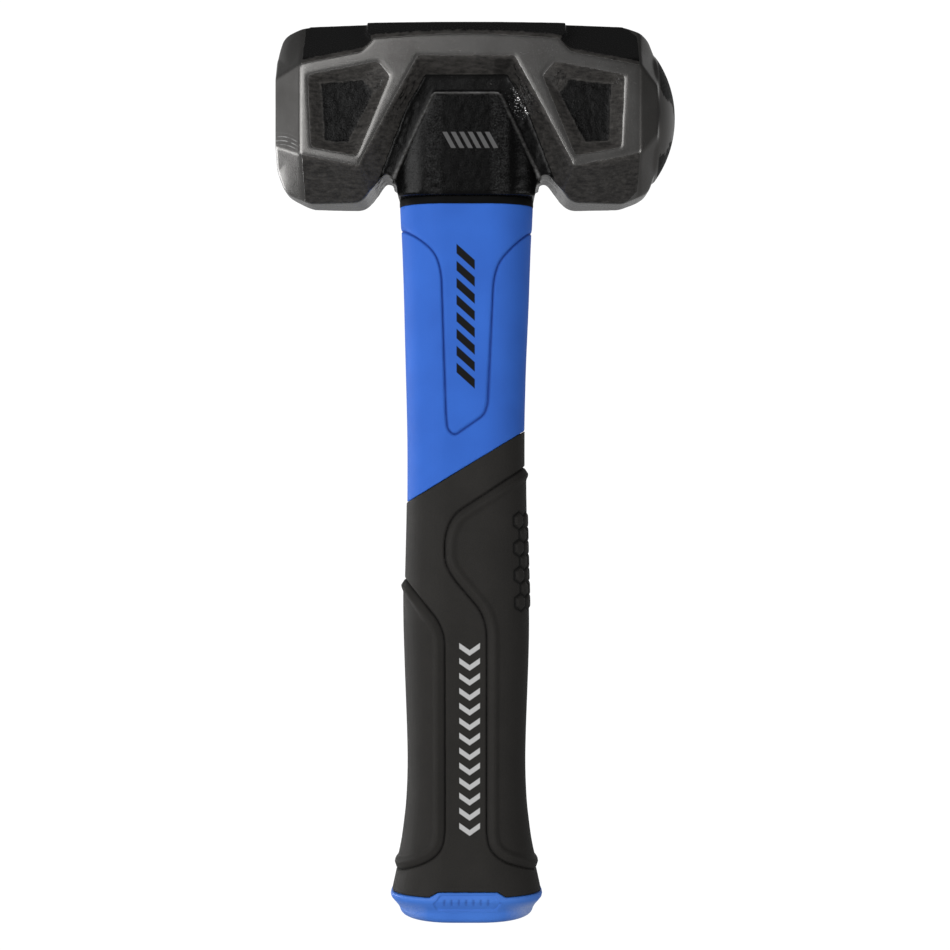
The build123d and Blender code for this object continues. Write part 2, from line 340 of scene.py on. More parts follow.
class Finish(Nodes):
    # a material whose x, y and z are places on the piece in millimetres
    def __init__(self, name):
        self.material = bpy.data.materials.new(name)
        super().__init__(self.material)
        self.place = self.node("ShaderNodeTexCoord", output="Object")
        self.x, self.y, self.z = (part * 1000 for part in self.split(self.place))

    def noise(self, size, detail, roughness, stretch=(1, 1, 1)):
        spot = self.node("ShaderNodeMapping", inputs={"Vector": self.place, "Scale": stretch})
        inputs = {"Vector": spot, "Scale": 1 / (size * mm), "Detail": detail, "Roughness": roughness}
        return self.node("ShaderNodeTexNoise", inputs=inputs)

    def cells(self, size):
        inputs = {"Vector": self.place, "Scale": 1 / (size * mm)}
        return self.node("ShaderNodeTexVoronoi", {"feature": "F1"}, inputs, "Distance")

    def blend(self, share, low, high):
        return self.node("ShaderNodeMix", {"data_type": "RGBA"}, {0: share, 6: low, 7: high}, 2)

    def near(self, x, z, reach):
        # 1 at a place in the front view, fading to 0 at its reach
        across = self.x - x
        up = self.z - z
        return 1 - ((across * across + up * up).math("SQRT") / reach).within(0, 1)

    def attribute(self, name):
        return self.node("ShaderNodeAttribute", {"attribute_name": name}, output="Fac")

    def bump(self, height, depth):
        inputs = {"Height": height, "Distance": depth * mm, "Strength": 1.0}
        return self.node("ShaderNodeBump", inputs=inputs)

    def surface(self, **inputs):
        named = {name.replace("_", " "): value for name, value in inputs.items()}
        self.endWith("ShaderNodeOutputMaterial", self.node("ShaderNodeBsdfPrincipled", inputs=named))
        return self.material


def grey(value):
    return (value, value, value, 1)


def colour(red, green, blue):
    # a display colour, 0 to 255, as the shader wants it
    return tuple(((c / 255 + 0.055) / 1.055) ** 2.4 for c in (red, green, blue)) + (1,)


headSettings = {
    "voxel": 0.42,
    "smoothing": 9,
    "mostTriangles": 190000,
    "smoothAngle": 65,
    "middle": 234.2,  # height of the striking axis
    "halfDepth": 22.5,
    "halfHeight": 25.8,
    # the neck boss narrows upwards from the neck
    "neckHeight": 214,
    "bossHalfWidth": 21.9,
    "bossTaper": 0.477,
    # right half of the recess round the boss, in length and height
    "halfRecess": [(14.4, 251.3), (22.6, 236.2), (33.4, 219.3), (34.6, 200.0)],
    # ground ends: where each front bevel starts, and its depth at the end face
    "frontBevels": {-1: (47.4, 15.0), 1: (49.7, 18.5)},
    "bevelStart": 46.5,
    "bevelEnd": 55.2,
    "endFace": 54.9,
    "groundMargin": 0.35,
    "roundingStart": 45.5,
    "endRounding": 10,
    # how far each end's upper and lower bevel is crowned, by side and by up or down
    "crowns": {(-1, 1): 1.1, (-1, -1): 0.4, (1, 1): 0.4, (1, -1): 0.6},
    "crownStart": 40,
    "crownSpan": 17.5,
    "crownFade": (9, 18),
    # size and depth of the lumps left by forging, and the places that have fewer
    "lumps": ((2.6, 0.32), (0.9, 0.14)),
    "lumpSteps": 20,
    "ridgeDepths": (21.5, 22.2),
    "topHeights": (249.5, 252.0),
    "topCalm": 0.85,
    "eye": (17, 12),
    "calmHalfWidth": 21,
    "calmTaper": 0.3,
    "calmNeck": 213,
    "calmShare": 0.35,
    "wear": {
        # how squarely a wall or a flat faces the front, as the start and end of a change
        "wallFacing": (0.25, 0.36),
        "flatFacing": (0.9, 0.96),
        "ridgeFacing": (0.9, 0.975),
        # lengths, depths and heights that bound each part of the forging
        "ridgeDepth": 21.5,
        "edgeDepth": 21.2,
        "wallDepth": 14.0,
        "recessEdge": -0.6,
        "bossTop": 240.4,
        "bossDepths": (13.2, 18.4),
        "bossFacing": 0.6,
        "pocketAcross": (21.0, 46),
        "pocketHeights": (220.4, 248.4),
        "facetTop": 222.5,
        "facetAcross": 22,
        "undersideTop": 219,
        "undersideAcross": 20.4,
        # pale line round the boss, and at the foot of the neck, a painted highlight on those edges that is
        # partly worn lacquer
        "rimHalfWidth": 0.6,
        "rimSideTop": 240,
        "rimTop": 239.8,
        "rimTopHalfWidth": 0.5,
        "rimTopAcross": 9.5,
        "rimDepths": (12.8, 18.0),
        "footHeight": 0.9,
        "footDepth": 16.0,
        "footAcross": 22,
        # how far the lacquer is rubbed, and how strong the foot's pale line is, a painted highlight that is
        # partly worn lacquer
        "rightWalls": 0.55,
        "rightFrom": 8,
        "pocketWalls": 0.75,
        "facets": 0.62,
        "edges": 0.8,
        "foot": 0.7,
    },
    "steel": {
        # size, detail, roughness and stretch of each pattern
        "patterns": {
            "ragged": (1.1, 4, 0.6),
            "cloud": (9.0, 3, 0.5),
            "grain": (0.28, 2, 0.6),
            "speck": (0.6, 3, 0.7),
            "streak": (1.3, 4, 0.65, (0.5, 0.5, 1.6)),
            "lumps": (1.6, 4, 0.6),
            "fine": (0.45, 3, 0.65),
            "fleck": (0.42, 2, 0.5),
            "streakBreakup": (2.2, 3, 0.6),
        },
        # colours, a pair being the two ends of a mottle
        "lacquer": (grey(0.003), grey(0.007)),
        # painted sheen on the top facets
        "topLacquerSheen": grey(0.014),
        # boss black, and the painted sheen of its bands
        "bossLacquerAndSheen": (grey(0.002), grey(0.03)),
        "rubbed": ((0.026, 0.025, 0.024, 1), (0.088, 0.083, 0.078, 1)),
        # pale rim line: painted highlight, partly worn lacquer
        "rimWearAndHighlightGrey": grey(0.20),
        "satin": ((0.115, 0.112, 0.108, 1), (0.175, 0.172, 0.168, 1)),
        # painted shade on the right end
        "shadedSatin": (0.07, 0.066, 0.062, 1),
        "strokeGrey": grey(0.125),
        "fleckGrey": grey(0.5),
        # painted highlight streaks on one bevel
        "bevelStreakGrey": grey(0.62),
        # where one finish gives way to another, in length or height
        "topStart": 248.6,
        "shadedSatinStart": 49.0,
        # where the boss's bands of painted sheen and glints run
        "bossSheenBand": (6.6, 12.6),
        "domeStart": 55.6,
        "domeMiddle": (57.0, 232.6),
        "wallHalfWidth": 16.5,
        "wallTop": 251.8,
        # the row of plain slanted strokes on the boss
        "strokes": {
            "left": -4.4, "right": 9.7, "low": 223.6, "high": 228.4,
            "slant": 0.55, "step": 2.44, "share": 0.62, "front": -15.0,
        },
        # bright flecks where the lacquer is thin: place in length and height, and reach
        "fleckPatches": [(17.0, 238.0, 7.0), (-23.7, 242.0, 3.2), (43.4, 243.0, 2.6)],
        # painted highlight streaks, curved, on one bevel
        "bevelStreaks": {
            "start": 54.5, "curve": 0.06, "step": 1.15, "halfWidth": 0.16, "low": 224.6, "high": 228.3,
            "inner": -47.6, "front": -14.6, "strength": 0.7,
        },
    },
}


def mirrored(halfOutline):
    return [(-x, z) for x, z in reversed(halfOutline)] + halfOutline


def planeThrough(a, b, c):
    a, b, c = Vector(a), Vector(b), Vector(c)
    normal = (b - a).cross(c - a).normalized()
    if normal.x < 0:
        normal.negate()
    return normal, normal.dot(a)


def bevelPlanes(side):
    # ground bevels of one end, each through three points in length, depth and height from the middle
    settings = headSettings
    start, frontDepth = settings["frontBevels"][side]
    end, deep, high = settings["bevelEnd"], settings["halfDepth"], settings["halfHeight"]
    return [
        planeThrough((start, deep, 0), (start, deep, 9), (end, frontDepth, 0)),
        planeThrough((start, deep, 13.2), (start, 8.6, high), (end, 11.0, 13.5)),
        planeThrough((settings["bevelStart"], 0, high), (settings["bevelStart"], 9, high), (end, 0, 17.0)),
    ]


def endShare(points, side):
    # 1 on the bevels, end face and dome of one end
    settings = headSettings
    x = side * points[:, 0]
    y = np.abs(points[:, 1])
    height = np.abs(points[:, 2] - settings["middle"])
    nearest = settings["endFace"] - x
    for normal, reach in bevelPlanes(side):
        nearest = np.minimum(nearest, reach - (x * normal.x + y * normal.y + height * normal.z))
    return 1 - ramp(nearest, settings["groundMargin"] * 0.5, settings["groundMargin"] * 1.5)


def groundShare(points):
    return np.maximum(endShare(points, -1), endShare(points, 1))


def crownBevels(points):
    # each end's upper and lower bevel swells a little between its two edges
    settings = headSettings
    length = np.abs(points[:, 0])
    height = points[:, 2] - settings["middle"]
    onto = length - settings["bevelStart"] + settings["halfHeight"] - np.abs(height)
    fade = 1 - ramp(np.abs(points[:, 1]), *settings["crownFade"])
    swell = np.sin(math.pi * np.clip(onto / settings["crownSpan"], 0, 1)) * fade
    swell = swell * (length > settings["crownStart"])
    for (side, up), reach in settings["crowns"].items():
        chosen = (points[:, 0] * side > 0) & (height * up > 0)
        push = swell * chosen * reach * math.sqrt(0.5)
        points[:, 0] += push * side
        points[:, 2] += push * up


def roundEnds(head):
    settings = headSettings
    ends = head.vertex_groups.new(name="ends")
    nearEnds = np.abs(readPoints(head)[:, 0]) > settings["roundingStart"]
    ends.add(np.nonzero(nearEnds)[0].tolist(), 1.0, "REPLACE")
    applyModifier(head, "SMOOTH", factor=0.5, iterations=settings["endRounding"], vertex_group="ends")
    points = readPoints(head)
    crownBevels(points)
    writePoints(head, points)
    return points


def forgeSkin(head, points):
    # lumps everywhere but on ground steel, ridges and the eye, and fewer on the boss and top
    settings = headSettings
    across, depth, height = np.abs(points[:, 0]), np.abs(points[:, 1]), points[:, 2]
    ridge = ramp(depth, *settings["ridgeDepths"])
    top = ramp(height, *settings["topHeights"])
    inEye = (across < settings["eye"][0]) & (depth < settings["eye"][1])
    calmWidth = settings["calmHalfWidth"] - (height - settings["neckHeight"]) * settings["calmTaper"]
    calm = np.where((across < calmWidth) | (height < settings["calmNeck"]), settings["calmShare"], 1.0)
    forged = (1 - groundShare(points)) * (1 - ridge) * (1 - settings["topCalm"] * top) * calm * ~inEye
    group = head.vertex_groups.new(name="forged")
    for step in range(1, settings["lumpSteps"] + 1):
        chosen = np.nonzero(np.round(forged * settings["lumpSteps"]) == step)[0]
        if len(chosen):
            group.add(chosen.tolist(), step / settings["lumpSteps"], "REPLACE")
    for size, lumpDepth in settings["lumps"]:
        grain = bpy.data.textures.new("forging", "CLOUDS")
        grain.noise_scale = size * mm
        grain.noise_depth = 2
        applyModifier(
            head, "DISPLACE", texture=grain, texture_coords="LOCAL", strength=lumpDepth * mm,
            mid_level=0.5, vertex_group="forged",
        )
    head.vertex_groups.clear()


def makeHead():
    settings = headSettings
    head = copyOfNode("head", "forgedHead")
    denseMesh(head, settings["voxel"], settings["smoothing"])
    forgeSkin(head, roundEnds(head))
    thinOut(head, settings["mostTriangles"])
    writeAttribute(head, "endGround", groundShare(readPoints(head)))
    markWear(head)
    return head


def bossFlank(height):
    # half width of the neck boss at each height
    settings = headSettings
    return settings["bossHalfWidth"] - (height - settings["neckHeight"]) * settings["bossTaper"]


def rimWearAndHighlight(across, depth, height, facing):
    wear = headSettings["wear"]
    flank = bossFlank(height)
    sides = hump(np.abs(across - flank), wear["rimHalfWidth"]) * (height < wear["rimSideTop"])
    top = hump(height - wear["rimTop"], wear["rimTopHalfWidth"]) * (across < wear["rimTopAcross"])
    rim = (sides + top) * between(depth, *wear["rimDepths"]) * (facing > wear["wallFacing"][0])
    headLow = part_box("head")[0][2] / mm
    foot = (height < headLow + wear["footHeight"]) & (depth > wear["footDepth"])
    foot = foot & (across < wear["footAcross"])
    return np.maximum(rim, foot * wear["foot"])


def markWear(head):
    # how far the lacquer is rubbed, with the painted highlight round the boss rim and the neck foot added
    # in, and how coarse the forging is, place by place
    wear = headSettings["wear"]
    points, normals = readPoints(head), readNormals(head)
    across, depth, height = np.abs(points[:, 0]), np.abs(points[:, 1]), points[:, 2]
    facing = np.abs(normals[:, 1])
    sloping = ramp(facing, *wear["wallFacing"]) * (1 - ramp(facing, *wear["flatFacing"]))
    sloping = sloping * (depth > wear["wallDepth"])
    flank = bossFlank(height)
    recess = signedDistance(points, normals, mirrored(headSettings["halfRecess"])) > wear["recessEdge"]
    boss = (height < wear["bossTop"]) & (depth < wear["bossDepths"][1]) & (across < flank)
    pocket = between(across, *wear["pocketAcross"]) & between(height, *wear["pocketHeights"]) & ~recess
    lowFacet = (height < wear["facetTop"]) & (across > wear["facetAcross"]) & (facing > 0.3)
    lowFacet = lowFacet & (normals[:, 2] < -0.5) & (np.abs(normals[:, 0]) < 0.4)
    underside = ramp(-normals[:, 2], 0.25, 0.45) * (1 - ramp(facing, 0.4, 0.5))
    underside = underside * (height < wear["undersideTop"]) * (across > wear["undersideAcross"])
    recessWalls = np.where(points[:, 0] > wear["rightFrom"], wear["rightWalls"], 1.0) * (recess & ~boss)
    worn = sloping * (recessWalls + pocket * wear["pocketWalls"])
    worn = np.maximum(np.where(lowFacet, wear["facets"], worn), (depth > wear["edgeDepth"]) * wear["edges"])
    rim = rimWearAndHighlight(across, depth, height, facing)
    pocketFloor = pocket & (facing > wear["flatFacing"][0]) & (depth < 21)
    coarse = pocketFloor + lowFacet * np.where(points[:, 0] < 0, 1.0, 0.6)
    bossFront = boss & (facing > wear["bossFacing"]) & (points[:, 1] < -wear["bossDepths"][0])
    # the rim's painted highlight, partly worn lacquer, is added to the wear
    writeAttribute(head, "worn", np.clip(worn + rim, 0, 1))
    writeAttribute(head, "rim", rim)
    writeAttribute(head, "ridge", ramp(facing, *wear["ridgeFacing"]) * (depth > wear["ridgeDepth"]))
    writeAttribute(head, "underside", underside)
    writeAttribute(head, "boss", bossFront)
    writeAttribute(head, "coarse", np.clip(coarse, 0, 1))


def groundSteel(finish, patterns):
    # bare ground steel: the ends and the ridges, less the lacquer left on the dome
    settings = headSettings["steel"]
    ragged, cloud = patterns["ragged"], patterns["cloud"]
    overWall = (settings["wallHalfWidth"] - finish.x.math("ABSOLUTE")).within(0, 1)
    overWall = overWall * (settings["wallTop"] - finish.z).within(0, 0.5)
    ridge = (finish.attribute("ridge") + ragged * (overWall * 1.6 + 0.5)).within(0.4, 0.6)
    ends = (finish.attribute("endGround") + ragged * 0.5).within(0.35, 0.6)
    length, height = settings["domeMiddle"]
    wide = (finish.z - height).math("ABSOLUTE") * 0.03 + (finish.x - length) * 0.035
    lacquered = (cloud * 0.6 + wide + ragged * 0.25).within(0.57, 0.60)
    lacquered = (finish.x - settings["domeStart"]).within(0, 0.5) * lacquered
    return ridge.math("MAXIMUM", ends).math("MAXIMUM", finish.attribute("underside")) * (1 - lacquered)


def blackLacquer(finish, patterns):
    # deep black, paler on top as painted sheen, with painted sheen and glints in bands up the front of the
    # boss
    settings = headSettings["steel"]
    lacquer = finish.blend(patterns["cloud"].within(0.35, 0.7), *settings["lacquer"])
    onTop = (finish.z - settings["topStart"]).within(0, 1.0)
    # painted sheen: the lacquer is drawn paler on the top facets
    lacquer = finish.blend(onTop, lacquer, settings["topLacquerSheen"])
    mottle = patterns["speck"] * 0.7 + patterns["streak"] * 0.5 + patterns["grain"] * 0.3
    # painted sheen and glints in bands up the boss front
    bossSheen = finish.x.math("ABSOLUTE").between(*settings["bossSheenBand"], 1.2) * mottle.within(0.68, 0.95)
    return finish.blend(finish.attribute("boss"), lacquer, finish.blend(bossSheen, *settings["bossLacquerAndSheen"]))


def rubbedLacquerAndRimHighlight(finish, patterns):
    settings = headSettings["steel"]
    streak = patterns["streak"]
    rubbed = finish.blend((streak * 0.7 + patterns["grain"] * 0.3).within(0.35, 0.6), *settings["rubbed"])
    # pale rim line: painted highlight, partly worn lacquer
    return finish.blend(finish.attribute("rim") * streak.within(0.3, 0.6), rubbed, settings["rimWearAndHighlightGrey"])


def satinSteel(finish, patterns):
    settings = headSettings["steel"]
    mottle = (patterns["cloud"] * 0.6 + patterns["grain"] * 0.4).within(0.3, 0.7)
    satin = finish.blend(mottle, *settings["satin"])
    # painted shade: the satin darkens towards the right end
    paintedShade = (finish.x - settings["shadedSatinStart"]).within(0, 1.0) * 0.5
    return finish.blend(paintedShade, satin, settings["shadedSatin"])


def bossStrokes(finish):
    strokes = headSettings["steel"]["strokes"]
    along = finish.x + (finish.z - strokes["low"]) * strokes["slant"]
    phase = ((along - strokes["left"]) / strokes["step"]).math("FRACT")
    mark = phase.between(0, strokes["share"], 0.06) * along.between(strokes["left"], strokes["right"], 0.1)
    mark = mark * finish.z.between(strokes["low"], strokes["high"], 0.15)
    return mark * (strokes["front"] - finish.y).within(0, 1)


def thinFlecks(finish, patterns, gloss):
    patches = [finish.near(*place) for place in headSettings["steel"]["fleckPatches"]]
    patch = patches[0]
    for other in patches[1:]:
        patch = patch.math("MAXIMUM", other)
    return (patterns["fleck"] + patch * 0.16).within(0.70, 0.74) * gloss * patch.within(0.0, 0.1)


def paintedBevelStreaks(finish, patterns):
    bevelStreaks = headSettings["steel"]["bevelStreaks"]
    reach = finish.x + bevelStreaks["start"]
    sweep = finish.z + reach * reach * bevelStreaks["curve"]
    offLine = ((sweep / bevelStreaks["step"]).math("FRACT") - 0.5).math("ABSOLUTE")
    streakLine = (bevelStreaks["halfWidth"] - offLine).within(0, 0.12)
    streakLine = streakLine * sweep.between(bevelStreaks["low"], bevelStreaks["high"], 0.3)
    streakLine = streakLine * (bevelStreaks["inner"] - finish.x).within(0, 2.0) * patterns["streakBreakup"].within(0.36, 0.55)
    return streakLine * (bevelStreaks["front"] - finish.y).within(0, 0.6) * bevelStreaks["strength"]


def lacqueredSteel():
    settings = headSettings["steel"]
    finish = Finish("lacqueredSteel")
    patterns = {name: finish.noise(*values) for name, values in settings["patterns"].items()}
    patterns["ragged"] = patterns["ragged"] - 0.5
    grain = patterns["grain"]
    ground = groundSteel(finish, patterns)
    worn = (finish.attribute("worn") + patterns["ragged"] * 0.7).within(0.1, 0.9) * (1 - ground)
    mark = bossStrokes(finish)
    gloss = (1 - ground) * (1 - worn.math("MAXIMUM", mark))
    fleck = thinFlecks(finish, patterns, gloss)

    base = finish.blend(worn, blackLacquer(finish, patterns), rubbedLacquerAndRimHighlight(finish, patterns))
    base = finish.blend(ground, base, satinSteel(finish, patterns))
    base = finish.blend(mark, base, settings["strokeGrey"])
    base = finish.blend(fleck, base, settings["fleckGrey"])
    # painted highlight streaks on one bevel
    base = finish.blend(paintedBevelStreaks(finish, patterns), base, settings["bevelStreakGrey"])

    # the dome and right end are duller than the rest
    bare = grain * 0.06 + 0.23 + (finish.x - settings["domeStart"]).within(0, 0.5) * 0.16
    glossy = patterns["speck"].within(0.3, 0.7) * 0.2 + 0.14 + (finish.x - 54.5).within(0, 1) * 0.35
    roughness = ground * bare + (1 - ground) * (1 - gloss) * 0.5 + gloss * glossy

    coarse = finish.attribute("coarse")
    forged = patterns["lumps"] * (coarse * 0.9 + 0.10) + patterns["fine"] * (coarse * 0.3 + 0.20)
    height = (1 - ground) * forged + ground * (grain * 0.03)
    return finish.surface(
        Base_Color=base, Roughness=roughness, Metallic=(ground * 0.75).math("MAXIMUM", fleck),
        Normal=finish.bump(height, 0.26), Specular_IOR_Level=0.13,
    )


def buildHead():
    finishPiece(makeHead(), "head", lacqueredSteel(), headSettings["smoothAngle"])
    print("head done")


coreSettings = {
    "smoothAngle": 40,
    "barEdge": 0.4,
    "resinEdge": 0.15,
    "collarEdge": 0.35,
    "fibreSize": 0.45,
    "fibre": (colour(150, 138, 100), colour(196, 184, 142)),
    "resin": (grey(0.018), grey(0.045)),
    "collar": (grey(0.003), grey(0.008)),
}


def pultrudedBar():
    finish = Finish("pultrudedBar")
    fibres = finish.cells(coreSettings["fibreSize"])
    streak = finish.noise(0.9, 3, 0.6, (1, 1, 0.05))
    base = finish.blend((streak * 0.7 + fibres * 0.4).within(0.2, 0.8), *coreSettings["fibre"])
    return finish.surface(Base_Color=base, Roughness=fibres * 0.2 + 0.5, Normal=finish.bump(fibres, 0.05))


def eyeResin():
    finish = Finish("eyeResin")
    cloud = finish.noise(3.0, 4, 0.6)
    base = finish.blend(cloud, *coreSettings["resin"])
    return finish.surface(Base_Color=base, Roughness=cloud * 0.25 + 0.35, Normal=finish.bump(cloud, 0.25))


def collarRubber():
    finish = Finish("collarRubber")
    grain = finish.noise(0.35, 3, 0.6)
    base = finish.blend(grain, *coreSettings["collar"])
    return finish.surface(
        Base_Color=base, Roughness=grain * 0.2 + 0.5, Normal=finish.bump(grain, 0.04),
        Specular_IOR_Level=0.04,
    )


def softenedCopy(nodeName, pieceName, width):
    # a small piece keeps its exact shape and only has its edges eased
    piece = copyOfNode(nodeName, pieceName)
    makeActive(piece)
    bpy.ops.object.mode_set(mode="EDIT")
    bpy.ops.mesh.select_all(action="SELECT")
    bpy.ops.mesh.dissolve_limited(angle_limit=math.radians(1.0))
    bpy.ops.object.mode_set(mode="OBJECT")
    sharp = math.radians(40)
    applyModifier(piece, "BEVEL", width=width * mm, segments=3, limit_method="ANGLE", angle_limit=sharp)
    return piece


def buildCore():
    settings = coreSettings
    bar = softenedCopy("shaft_core", "fibreBar", settings["barEdge"])
    finishPiece(bar, "shaft_core", pultrudedBar(), settings["smoothAngle"])
    resin = softenedCopy("eye_resin", "castResin", settings["resinEdge"])
    finishPiece(resin, "eye_resin", eyeResin(), settings["smoothAngle"])
    collar = softenedCopy("neck_collar", "neckRing", settings["collarEdge"])
    finishPiece(collar, "neck_collar", collarRubber(), settings["smoothAngle"])
    print("bar, resin and collar done")


handleSettings = {
    # height, half width and half depth up the sleeve and up the grip
    "sleeveStations": [
        (118, 17.2, 13.5), (140, 17.2, 13.5), (158, 17.6, 13.8),
        (176, 18.2, 14.3), (194, 18.8, 14.8), (208, 19.4, 15.2),
    ],
    "gripStations": [
        (8, 21.85, 17.95), (11, 21.2, 17.4), (14.4, 20.45, 16.75), (18, 19.6, 16), (21.5, 18.85, 15.35),
        (25, 18.3, 14.85), (28.6, 17.85, 14.45), (32, 17.45, 14.1), (39, 17, 13.7), (46, 16.85, 13.55),
        (53, 16.97, 13.6), (64, 17.35, 13.85), (74.5, 17.73, 14.15), (85, 18, 14.35), (95, 18, 14.3),
        (105, 17.75, 14.1), (118, 17.45, 13.85), (130, 17.3, 13.7), (145, 17.3, 13.6),
    ],
    "stationStep": 3.0,
    # the slanting seam between sleeve and grip
    "seamRight": 142.6,
    "seamLeft": 121.5,
    "seamHalfWidth": 17.3,
    "tailBottom": 4.0,
    "tailStep": 5.0,
    # the handle stands a hair towards -X through its middle
    "settle": -0.2,
    "settleFrom": (75, 105),
    "settleTo": (158, 185),
}


def seamPlane():
    settings = handleSettings
    rise = settings["seamRight"] - settings["seamLeft"]
    run = 2 * settings["seamHalfWidth"]
    length = math.hypot(rise, run)
    middle = (settings["seamRight"] + settings["seamLeft"]) / 2
    return (0, 0, middle), (-rise / length, 0, run / length)


def makeTail(name, inset):
    # the slim end of the sleeve, which the grip is moulded round
    settings = handleSettings
    foot = (settings["tailBottom"],) + settings["gripStations"][0][1:]
    stations = smoothStations(settings["gripStations"], settings["tailStep"])
    return ovalSolid(name, grown([foot] + stations, -inset))


def settledAcross(points):
    settings = handleSettings
    share = ramp(points[:, 2], *settings["settleFrom"]) * (1 - ramp(points[:, 2], *settings["settleTo"]))
    return settings["settle"] * share


def frontBars(finish, slanted, bars):
    # plain bars stacked up the front of the handle, each one whole
    place = (slanted - bars["low"]) / bars["step"]
    stripe = place.math("FRACT").between(0, bars["share"], 0.05)
    whole = place.between(0, bars["count"], 0.01)
    inside = finish.x.between(bars["left"], bars["right"], 0.12)
    return stripe * whole * inside * (-4.0 - finish.y).within(0, 1)


def mouldedBlue(name, settings, overlay):
    # blue plastic with painted shade in its grooves, and the piece's own overlay on top: print on the
    # sleeve, scuffs with painted sheen on the cap
    finish = Finish(name)
    cloud = finish.noise(14.0, 2, 0.5)
    grain = finish.noise(0.22, 2, 0.6)
    base = finish.blend((cloud * 0.7 + grain * 0.3).within(0.3, 0.7), *settings["shades"])
    # painted shade in the grooves
    base = finish.blend(finish.attribute("track") * 0.85, base, settings["grooveShade"])
    mask, shade = overlay(finish, cloud)
    base = finish.blend(mask, base, shade)
    return finish.surface(
        Base_Color=base, Roughness=grain * 0.14 + 0.5, Normal=finish.bump(grain, 0.035),
        Specular_IOR_Level=settings["sheen"],
    )


sleeveSettings = {
    "voxel": 0.3,
    "smoothing": 4,
    "mostTriangles": 185000,
    "smoothAngle": 60,
    "tailInset": 2.9,
    "tailJoin": 1.0,
    "barHole": (10.0, 215.0),
    "barCorner": 0.92,
    "coreOval": (16.0, 12.0),
    # the shield-shaped line down the front and back, in length and height
    "track": [
        (-30, 230), (-30, 204), (-19.4, 201.6), (-13, 197.6), (-8.8, 193.6), (-7.2, 188), (-5.8, 147),
        (-5.4, 142.8, 2.2), (-3.4, 141, 1.8), (5.2, 147, 2.6), (6.3, 150.2, 2.6), (7.9, 186), (9.4, 191.2),
        (13.4, 195.8), (19.6, 201.4), (30, 203.6), (30, 230),
    ],
    "trackCorner": 4.0,
    "trackStart": (118, 121),
    "trackDepth": 0.5,
    "trackHalfWidth": 0.34,
    "trackFalloff": 1.2,
    "trackShade": 0.38,
    "fieldRise": 0.12,
    "fieldEdge": (-0.2, 1.4),
    "shades": (colour(60, 111, 213), colour(65, 121, 227)),
    "grooveShade": colour(24, 44, 118),
    "sheen": 0.06,
    "slant": 0.9,
    "bars": {"low": 156.6, "step": 4.9, "count": 8, "share": 0.62, "left": -2.9, "right": 2.5},
    "ink": grey(0.012),
}


def barHole():
    # room for the fibre bar up the middle of the sleeve
    low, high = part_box("shaft_core")
    halfWidth = (high[0] - low[0]) / 2 / mm
    halfDepth = (high[1] - low[1]) / 2 / mm
    stations = [(z, halfWidth, halfDepth) for z in sleeveSettings["barHole"]]
    return ovalSolid("barHole", stations, sleeveSettings["barCorner"])


def trackDistance(points, normals):
    outline = roundCorners(sleeveSettings["track"], sleeveSettings["trackCorner"])
    return signedDistance(points, normals, outline)


def makeSleeve():
    settings = sleeveSettings
    stations = smoothStations(handleSettings["sleeveStations"], handleSettings["stationStep"])
    shell = ovalSolid("blueSleeve", stations)
    point, normal = seamPlane()
    bisectPiece(shell, point, normal, clearOuter=False)
    tail = makeTail("tail", settings["tailInset"])
    bisectPiece(tail, (point[0], point[1], point[2] + settings["tailJoin"]), normal)
    combine(shell, tail, "UNION")
    combine(shell, barHole())
    denseMesh(shell, settings["voxel"], settings["smoothing"])

    points, normals = readPoints(shell), readNormals(shell)
    distance = trackDistance(points, normals)
    wide, deep = settings["coreOval"]
    outside = np.hypot(points[:, 0] / wide, points[:, 1] / deep) > 1
    groove = np.exp(-((distance / settings["trackHalfWidth"]) ** 2) * settings["trackFalloff"])
    groove = groove * outside * ramp(points[:, 2], *settings["trackStart"])
    field = ramp(distance, *settings["fieldEdge"]) * settings["fieldRise"] * outside
    points += normals * (field - groove * settings["trackDepth"])[:, None]
    points[:, 0] += settledAcross(points) * outside
    writePoints(shell, points)
    thinOut(shell, settings["mostTriangles"])

    points = readPoints(shell)
    # painted shade along the groove line
    shade = hump(trackDistance(points, readNormals(shell)), settings["trackShade"])
    writeAttribute(shell, "track", shade * (points[:, 2] > settings["trackStart"][1]))
    return shell


def sleevePrint(finish, cloud):
    settings = sleeveSettings
    return frontBars(finish, finish.z + finish.x * settings["slant"], settings["bars"]), settings["ink"]


def buildSleeve():
    material = mouldedBlue("mouldedSleeve", sleeveSettings, sleevePrint)
    finishPiece(makeSleeve(), "sleeve", material, sleeveSettings["smoothAngle"])
    print("sleeve done")


